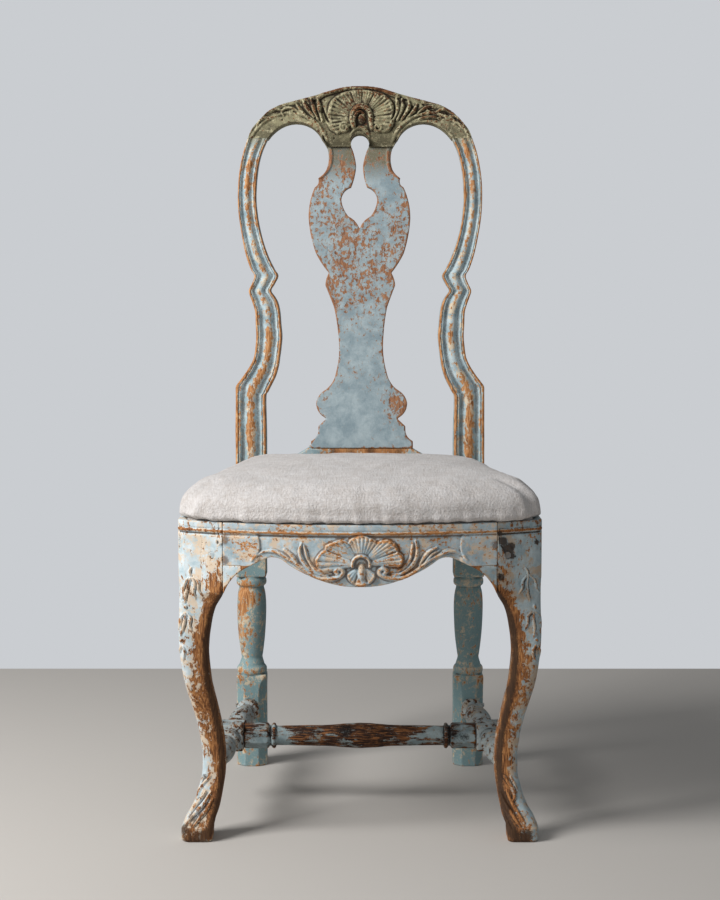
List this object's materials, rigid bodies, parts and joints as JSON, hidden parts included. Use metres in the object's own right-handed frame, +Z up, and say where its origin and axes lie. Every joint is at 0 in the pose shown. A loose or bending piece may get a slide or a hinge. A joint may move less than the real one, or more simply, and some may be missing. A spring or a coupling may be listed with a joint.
{
  "type": "rococo side chair",
  "caption": "Painted side chair with a pierced splat, shell-carved crest and front rail, cabriole front legs, turned rear legs, an H-shaped stretcher and a lift-out linen slip seat.",
  "frame": {"origin": "on the floor, in the middle of the chair's outline", "axes": "+X to the right of someone facing the chair, +Y to the back, +Z up"},
  "size_m": [0.5066, 0.5724, 1.096],
  "materials": {
    "painted_birch": "old grey-blue paint, worn to the wood",
    "worn_birch": "dark worn wood with traces of paint",
    "bare_pine": "raw aged pine",
    "linen": "coarse natural linen",
    "jute": "plain woven jute",
    "horsehair": "teased hair and tow",
    "tack_iron": "dark forged iron"
  },
  "bodies": {
    "frame": {"back_splat": "painted_birch", "crest_pegs": "bare_pine", "crest_rail": "painted_birch", "cross_stretcher": "worn_birch", "front_corner_block_left": "bare_pine", "front_corner_block_right": "bare_pine", "front_knee_bracket_left": "painted_birch", "front_knee_bracket_right": "painted_birch", "front_leg_left": "painted_birch", "front_leg_right": "painted_birch", "front_seat_rail": "painted_birch", "rear_corner_block_left": "bare_pine", "rear_corner_block_right": "bare_pine", "rear_post_left": "painted_birch", "rear_post_right": "painted_birch", "rear_seat_rail": "painted_birch", "seat_frame_pegs": "bare_pine", "side_knee_bracket_left": "painted_birch", "side_knee_bracket_right": "painted_birch", "side_seat_rail_left": "painted_birch", "side_seat_rail_right": "painted_birch", "side_stretcher_left": "worn_birch", "side_stretcher_right": "worn_birch", "splat_shoe": "painted_birch", "stretcher_pegs": "bare_pine"},
    "slip_seat": {"cover_tacks": "tack_iron", "seat_cover": "linen", "seat_hessian": "jute", "seat_stuffing": "horsehair", "slip_front_member": "bare_pine", "slip_rear_member": "bare_pine", "slip_side_member_left": "bare_pine", "slip_side_member_right": "bare_pine", "webbing_crosswise": "jute", "webbing_lengthwise": "jute"}
  },
  "joints": [
    {"name": "seat_lift", "type": "slide", "parent": "frame", "child": "slip_seat", "axis": [0, 0, 1], "range_m": [0, 0.12]}
  ]
}
